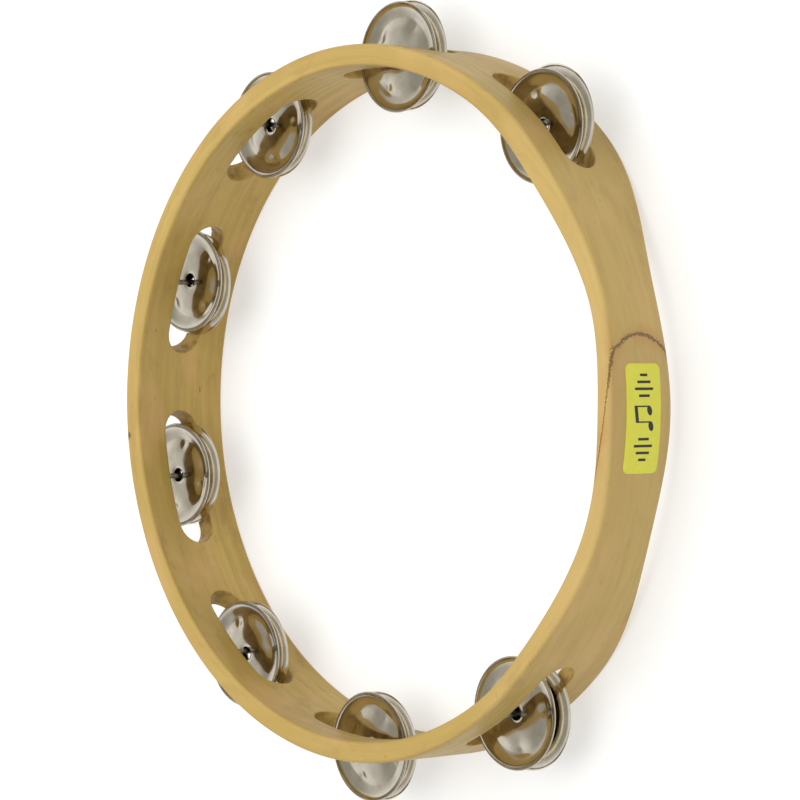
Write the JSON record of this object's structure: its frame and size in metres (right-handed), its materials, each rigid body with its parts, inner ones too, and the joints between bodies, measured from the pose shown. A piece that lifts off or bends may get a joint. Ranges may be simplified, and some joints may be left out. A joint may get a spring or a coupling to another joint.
{
  "type": "tambourine",
  "caption": "Headless hand tambourine: bent wood hoop with a scooped, flattened grip, slots in one row and pairs of loose dished metal jingles on steel pins.",
  "frame": {"origin": "centre of the hoop, on the plane that its lower rim rests on", "axes": "+Z along the hoop's axis, towards the upper rim; the grip and its label face -Y; the eight slots lie round the rest of the hoop, their row's middle towards +Y"},
  "size_m": [0.2881, 0.2625, 0.0413],
  "materials": {
    "wood": "satin, clear sealed pale hardwood",
    "jingle_metal": "bright nickel plate on pressed steel",
    "pin_steel": "drawn steel wire",
    "label": "printed vinyl, semi-matt"
  },
  "bodies": {
    "hoop": {"hoop": "wood", "label": "label", "pin_1": "pin_steel", "pin_2": "pin_steel", "pin_3": "pin_steel", "pin_4": "pin_steel", "pin_5": "pin_steel", "pin_6": "pin_steel", "pin_7": "pin_steel", "pin_8": "pin_steel"},
    "jingle_1_upper": {"jingle_1_upper": "jingle_metal"},
    "jingle_1_lower": {"jingle_1_lower": "jingle_metal"},
    "jingle_2_upper": {"jingle_2_upper": "jingle_metal"},
    "jingle_2_lower": {"jingle_2_lower": "jingle_metal"},
    "jingle_3_upper": {"jingle_3_upper": "jingle_metal"},
    "jingle_3_lower": {"jingle_3_lower": "jingle_metal"},
    "jingle_4_upper": {"jingle_4_upper": "jingle_metal"},
    "jingle_4_lower": {"jingle_4_lower": "jingle_metal"},
    "jingle_5_upper": {"jingle_5_upper": "jingle_metal"},
    "jingle_5_lower": {"jingle_5_lower": "jingle_metal"},
    "jingle_6_upper": {"jingle_6_upper": "jingle_metal"},
    "jingle_6_lower": {"jingle_6_lower": "jingle_metal"},
    "jingle_7_upper": {"jingle_7_upper": "jingle_metal"},
    "jingle_7_lower": {"jingle_7_lower": "jingle_metal"},
    "jingle_8_upper": {"jingle_8_upper": "jingle_metal"},
    "jingle_8_lower": {"jingle_8_lower": "jingle_metal"}
  },
  "joints": [
    {"name": "jingle_1_upper_slide", "type": "slide", "parent": "hoop", "child": "jingle_1_upper", "axis": [0, 0, 1], "range_m": [-0.00012, 0.00372]},
    {"name": "jingle_1_lower_slide", "type": "slide", "parent": "hoop", "child": "jingle_1_lower", "axis": [0, 0, 1], "range_m": [-0.00456, 0.00012]},
    {"name": "jingle_2_upper_slide", "type": "slide", "parent": "hoop", "child": "jingle_2_upper", "axis": [0, 0, 1], "range_m": [-0.00017, 0.00427]},
    {"name": "jingle_2_lower_slide", "type": "slide", "parent": "hoop", "child": "jingle_2_lower", "axis": [0, 0, 1], "range_m": [-0.00399, 0.00017]},
    {"name": "jingle_3_upper_slide", "type": "slide", "parent": "hoop", "child": "jingle_3_upper", "axis": [0, 0, 1], "range_m": [-0.00012, 0.00525]},
    {"name": "jingle_3_lower_slide", "type": "slide", "parent": "hoop", "child": "jingle_3_lower", "axis": [0, 0, 1], "range_m": [-0.00201, 0.00012]},
    {"name": "jingle_4_upper_slide", "type": "slide", "parent": "hoop", "child": "jingle_4_upper", "axis": [0, 0, 1], "range_m": [-0.00027, 0.00573]},
    {"name": "jingle_4_lower_slide", "type": "slide", "parent": "hoop", "child": "jingle_4_lower", "axis": [0, 0, 1], "range_m": [-0.00218, 0.00027]},
    {"name": "jingle_5_upper_slide", "type": "slide", "parent": "hoop", "child": "jingle_5_upper", "axis": [0, 0, 1], "range_m": [-0.00017, 0.0049]},
    {"name": "jingle_5_lower_slide", "type": "slide", "parent": "hoop", "child": "jingle_5_lower", "axis": [0, 0, 1], "range_m": [-0.00219, 0.00017]},
    {"name": "jingle_6_upper_slide", "type": "slide", "parent": "hoop", "child": "jingle_6_upper", "axis": [0, 0, 1], "range_m": [-0.00012, 0.00426]},
    {"name": "jingle_6_lower_slide", "type": "slide", "parent": "hoop", "child": "jingle_6_lower", "axis": [0, 0, 1], "range_m": [-0.00193, 0.00012]},
    {"name": "jingle_7_upper_slide", "type": "slide", "parent": "hoop", "child": "jingle_7_upper", "axis": [0, 0, 1], "range_m": [-0.00012, 0.00602]},
    {"name": "jingle_7_lower_slide", "type": "slide", "parent": "hoop", "child": "jingle_7_lower", "axis": [0, 0, 1], "range_m": [-0.0022, 0.00012]},
    {"name": "jingle_8_upper_slide", "type": "slide", "parent": "hoop", "child": "jingle_8_upper", "axis": [0, 0, 1], "range_m": [-0.00107, 0.00608]},
    {"name": "jingle_8_lower_slide", "type": "slide", "parent": "hoop", "child": "jingle_8_lower", "axis": [0, 0, 1], "range_m": [-0.00027, 0.00107]}
  ]
}
